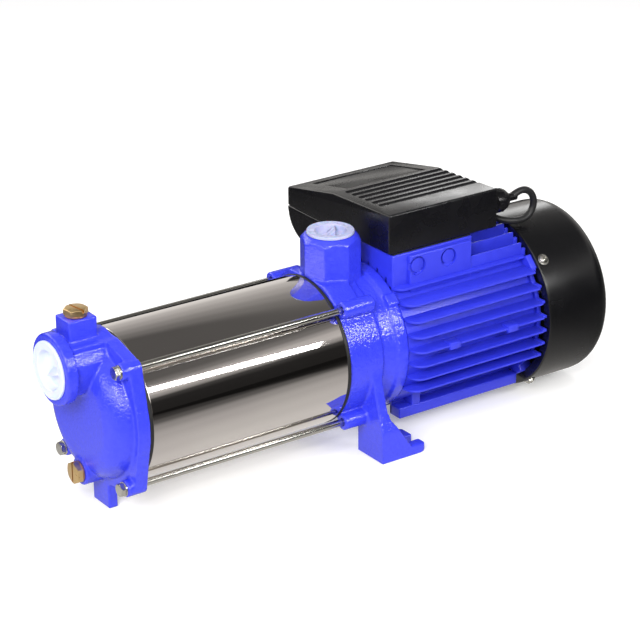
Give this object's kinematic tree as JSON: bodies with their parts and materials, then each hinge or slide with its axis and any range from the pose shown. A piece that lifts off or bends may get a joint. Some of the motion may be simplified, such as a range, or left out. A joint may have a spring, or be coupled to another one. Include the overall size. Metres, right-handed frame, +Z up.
{
  "type": "multistage centrifugal pump",
  "caption": "Horizontal multistage centrifugal water pump with a mirror steel sleeve held by tie rods between blue castings, close coupled to a finned electric motor",
  "frame": {"origin": "on the floor under the shaft, midway between the closed ends of the two foot slots", "axes": "+X along the shaft from the suction end to the fan, +Y to the side away from the cable, +Z up"},
  "size_m": [0.5058, 0.2597, 0.198],
  "materials": {
    "casting_paint": "gloss ultramarine enamel over a cast surface",
    "motor_paint": "gloss ultramarine enamel",
    "stainless": "mirror polished stainless steel",
    "zinc": "zinc plated steel",
    "brass": "turned brass",
    "copper": "soft copper",
    "black_rubber": "black rubber",
    "black_plastic": "black moulded plastic, semi gloss",
    "cover_steel": "gloss black enamel on pressed steel",
    "white_plastic": "white moulded plastic",
    "lilac_plastic": "translucent white moulded plastic",
    "stage_plastic": "glass filled black plastic",
    "impeller_plastic": "glass filled natural plastic",
    "ceramic": "sintered ceramic",
    "bearing_steel": "ground bearing steel",
    "shaft_steel": "turned steel",
    "lamination": "stacked electrical steel",
    "winding": "varnished copper wire",
    "rotor_aluminium": "cast aluminium cage on steel sheets",
    "capacitor_white": "white plastic can",
    "cable": "black flexible sheath"
  },
  "bodies": {
    "pump": {"suction_casing": "casting_paint", "front_sleeve_seal": "black_rubber", "stainless_sleeve": "stainless", "rear_sleeve_seal": "black_rubber", "tie_rods": "zinc", "tie_rod_washers": "zinc", "discharge_casing": "casting_paint", "inlet_plate": "stage_plastic", "stage_bowl_1": "stage_plastic", "stage_bowl_2": "stage_plastic", "stage_bowl_3": "stage_plastic", "stage_bowl_4": "stage_plastic", "stage_bowl_5": "stage_plastic", "shaft_seal_seat": "ceramic", "front_bearing_outer_ring": "bearing_steel", "rear_bearing_outer_ring": "bearing_steel", "motor_housing": "motor_paint", "stator_core": "lamination", "stator_windings": "winding", "rear_end_shield": "motor_paint", "motor_bolts": "zinc", "fan_cover": "cover_steel", "fan_cover_screws": "zinc", "terminal_box_gasket": "black_rubber", "terminal_box_base": "black_plastic", "terminal_box_cover": "black_plastic", "terminal_box_screws": "zinc", "capacitor": "capacitor_white", "terminal_block": "ceramic", "terminal_screws": "brass", "cable_gland": "black_plastic", "gland_nut": "black_plastic", "power_cord": "cable", "cord_coil": "cable", "cord_tail": "cable", "mains_plug": "black_plastic"},
    "rotor": {"shaft": "shaft_steel", "impeller_1": "impeller_plastic", "impeller_2": "impeller_plastic", "impeller_3": "impeller_plastic", "impeller_4": "impeller_plastic", "impeller_5": "impeller_plastic", "impeller_spacers": "shaft_steel", "impeller_nut": "shaft_steel", "shaft_seal_head": "black_rubber", "rotor_core": "rotor_aluminium", "front_bearing_inner_ring": "bearing_steel", "rear_bearing_inner_ring": "bearing_steel", "cooling_fan": "black_plastic", "fan_clip": "shaft_steel"},
    "front_ball_set": {"front_bearing_balls": "bearing_steel"},
    "rear_ball_set": {"rear_bearing_balls": "bearing_steel"},
    "priming_washer": {"priming_plug_washer": "copper"},
    "priming_screw": {"priming_plug": "brass"},
    "drain_washer": {"drain_plug_washer": "copper"},
    "drain_screw": {"drain_plug": "brass"},
    "suction_cap": {"suction_port_plug": "white_plastic"},
    "discharge_cap": {"discharge_port_plug": "lilac_plastic"}
  },
  "joints": [
    {"name": "rotor_spin", "type": "hinge", "parent": "pump", "child": "rotor", "pos_m": [0, 0, 0.083], "axis": [1, 0, 0], "continuous": true},
    {"name": "front_balls_orbit", "type": "hinge", "parent": "pump", "child": "front_ball_set", "pos_m": [0.004, 0, 0.083], "axis": [1, 0, 0], "continuous": true},
    {"name": "rear_balls_orbit", "type": "hinge", "parent": "pump", "child": "rear_ball_set", "pos_m": [0.137, 0, 0.083], "axis": [1, 0, 0], "continuous": true},
    {"name": "priming_plug_travel", "type": "slide", "parent": "pump", "child": "priming_washer", "axis": [0, 0, 1], "range_m": [0, 0.00936]},
    {"name": "priming_plug_turn", "type": "hinge", "parent": "priming_washer", "child": "priming_screw", "pos_m": [-0.2605, 0, 0.167], "axis": [0, 0, 1], "range_deg": [0, 2520]},
    {"name": "drain_plug_travel", "type": "slide", "parent": "pump", "child": "drain_washer", "axis": [-1, 0, 0], "range_m": [0, 0.00936]},
    {"name": "drain_plug_turn", "type": "hinge", "parent": "drain_washer", "child": "drain_screw", "pos_m": [-0.264, 0, 0.0335], "axis": [-1, 0, 0], "range_deg": [0, 2520]},
    {"name": "suction_cap_pull", "type": "slide", "parent": "pump", "child": "suction_cap", "axis": [-1, 0, 0], "range_m": [0, 0.06]},
    {"name": "discharge_cap_pull", "type": "slide", "parent": "pump", "child": "discharge_cap", "axis": [0, 0, 1], "range_m": [0, 0.06]}
  ],
  "couplings": [
    {"joint": "front_balls_orbit", "follows": "rotor_spin", "ratio": 0.3912},
    {"joint": "rear_balls_orbit", "follows": "rotor_spin", "ratio": 0.3911},
    {"joint": "priming_plug_turn", "follows": "priming_plug_travel", "rad_per_m": 4699.4},
    {"joint": "drain_plug_turn", "follows": "drain_plug_travel", "rad_per_m": 4699.4}
  ]
}
